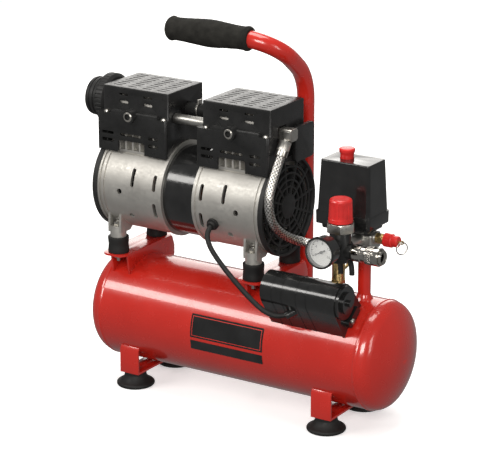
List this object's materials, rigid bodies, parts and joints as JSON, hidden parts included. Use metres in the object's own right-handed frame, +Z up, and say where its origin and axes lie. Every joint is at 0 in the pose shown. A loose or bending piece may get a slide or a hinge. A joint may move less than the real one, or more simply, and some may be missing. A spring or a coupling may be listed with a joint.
{
  "type": "portable air compressor",
  "caption": "Portable oil-free twin-cylinder air compressor on a lying tank, with carrying handle, pressure switch, regulator, gauge and quick coupler.",
  "frame": {"origin": "on the ground, under the centre of the bounding box", "axes": "+Z up; +X along the tank towards the quick coupler; -Y is the front, where the gauge faces"},
  "size_m": [0.4592, 0.195, 0.481],
  "materials": {
    "red_enamel": "gloss",
    "rubber_black": "matte",
    "zinc_steel": "satin",
    "foam_grip": "matte foam",
    "panel_black": "gloss",
    "brass": "satin",
    "black_enamel": "gloss",
    "copper_winding": "varnished copper",
    "bearing_steel": "satin",
    "electrical_steel": "laminated",
    "cast_aluminium": "sand-blasted",
    "black_cover": "satin",
    "fan_plastic": "matte",
    "red_plastic": "gloss",
    "chrome": "polished",
    "braid": "braided",
    "dial_white": "printed",
    "needle_black": "matte",
    "lens_clear": "clear",
    "piston_aluminium": "machined"
  },
  "bodies": {
    "compressor": {"tank_shell": "red_enamel", "tank_brackets": "red_enamel", "handle_tube": "red_enamel", "rubber_feet": "rubber_black", "vibration_mounts": "rubber_black", "frame_bolts": "zinc_steel", "handle_grip": "foam_grip", "name_panel": "panel_black", "stator": "black_enamel", "stator_windings": "copper_winding", "shaft_bearings": "bearing_steel", "cylinders": "cast_aluminium", "cylinder_heads": "cast_aluminium", "head_bolts": "zinc_steel", "cover_fittings": "zinc_steel", "air_filter": "black_cover", "air_filter_cap": "black_cover", "rear_filter": "black_cover", "crossover_pipe": "rubber_black", "intake_hose": "rubber_black", "delivery_fittings": "zinc_steel", "braided_hose": "braid", "check_valve": "brass", "unloader_tube": "zinc_steel", "manifold": "zinc_steel", "switch_base": "black_cover", "switch_cover": "black_cover", "switch_mechanism": "fan_plastic", "regulator_body": "black_cover", "regulator_bonnet": "chrome", "gauge_case": "black_cover", "gauge_dial": "dial_white", "gauge_lens": "lens_clear", "coupler_body": "chrome", "safety_body": "brass", "safety_cap": "red_plastic", "capacitor_box": "black_cover", "capacitor": "zinc_steel", "lead_gland": "rubber_black", "motor_lead": "rubber_black", "switch_leads": "rubber_black", "crankcase_left": "cast_aluminium", "crankcase_right": "cast_aluminium", "head_cover_left": "black_cover", "head_cover_right": "black_cover", "fan_cover_left": "fan_plastic", "fan_cover_right": "fan_plastic"},
    "rotor": {"motor_shaft": "bearing_steel", "rotor_core": "electrical_steel", "cooling_fans": "fan_plastic"},
    "piston_left": {"piston_left": "piston_aluminium"},
    "piston_right": {"piston_right": "piston_aluminium"},
    "switch_knob": {"switch_knob": "red_plastic"},
    "regulator_spindle": {"regulator_spindle": "brass"},
    "regulator_knob": {"regulator_knob": "red_plastic"},
    "gauge_needle": {"gauge_needle": "needle_black"},
    "coupler_sleeve": {"coupler_sleeve": "chrome"},
    "safety_stem": {"safety_stem": "brass"},
    "safety_ring": {"safety_ring": "zinc_steel"},
    "drain_screw": {"drain_screw": "brass"}
  },
  "joints": [
    {"name": "motor_spin", "type": "hinge", "parent": "compressor", "child": "rotor", "pos_m": [-0.0634, 0.0075, 0.261], "axis": [1, 0, 0], "continuous": true},
    {"name": "piston_left_stroke", "type": "slide", "parent": "compressor", "child": "piston_left", "axis": [0, 0, 1], "range_m": [-0.006, 0.006]},
    {"name": "piston_right_stroke", "type": "slide", "parent": "compressor", "child": "piston_right", "axis": [0, 0, 1], "range_m": [-0.006, 0.006]},
    {"name": "switch_knob_press", "type": "slide", "parent": "compressor", "child": "switch_knob", "axis": [0, 0, 1], "range_m": [-0.006, 0]},
    {"name": "regulator_turn", "type": "hinge", "parent": "compressor", "child": "regulator_spindle", "pos_m": [0.1686, -0.0475, 0.275], "axis": [0, 0, 1], "range_deg": [-720, 720]},
    {"name": "regulator_knob_lift", "type": "slide", "parent": "regulator_spindle", "child": "regulator_knob", "axis": [0, 0, 1], "range_m": [0, 0.004]},
    {"name": "needle_sweep", "type": "hinge", "parent": "compressor", "child": "gauge_needle", "pos_m": [0.1686, -0.0915, 0.2475], "axis": [0, 1, 0], "range_deg": [0, 240], "stiffness_Nm_per_rad": 0.00002, "springref_deg": -28.65},
    {"name": "coupler_sleeve_pull", "type": "slide", "parent": "compressor", "child": "coupler_sleeve", "axis": [1, 0, 0], "range_m": [-0.005, 0], "stiffness_N_per_m": 1500, "springref_m": 0.001},
    {"name": "safety_stem_pull", "type": "slide", "parent": "compressor", "child": "safety_stem", "axis": [1, 0, 0], "range_m": [0, 0.003], "stiffness_N_per_m": 800, "springref_m": -0.001},
    {"name": "safety_ring_swing", "type": "hinge", "parent": "safety_stem", "child": "safety_ring", "pos_m": [0.2219, 0.0075, 0.2415], "axis": [0, 1, 0], "range_deg": [-90, 4]},
    {"name": "drain_screw_turn", "type": "hinge", "parent": "compressor", "child": "drain_screw", "pos_m": [0.0086, 0.0295, 0.016], "axis": [0, 0, 1], "range_deg": [-720, 0]}
  ],
  "couplings": [
    {"joint": "piston_right_stroke", "follows": "piston_left_stroke", "ratio": -1}
  ]
}
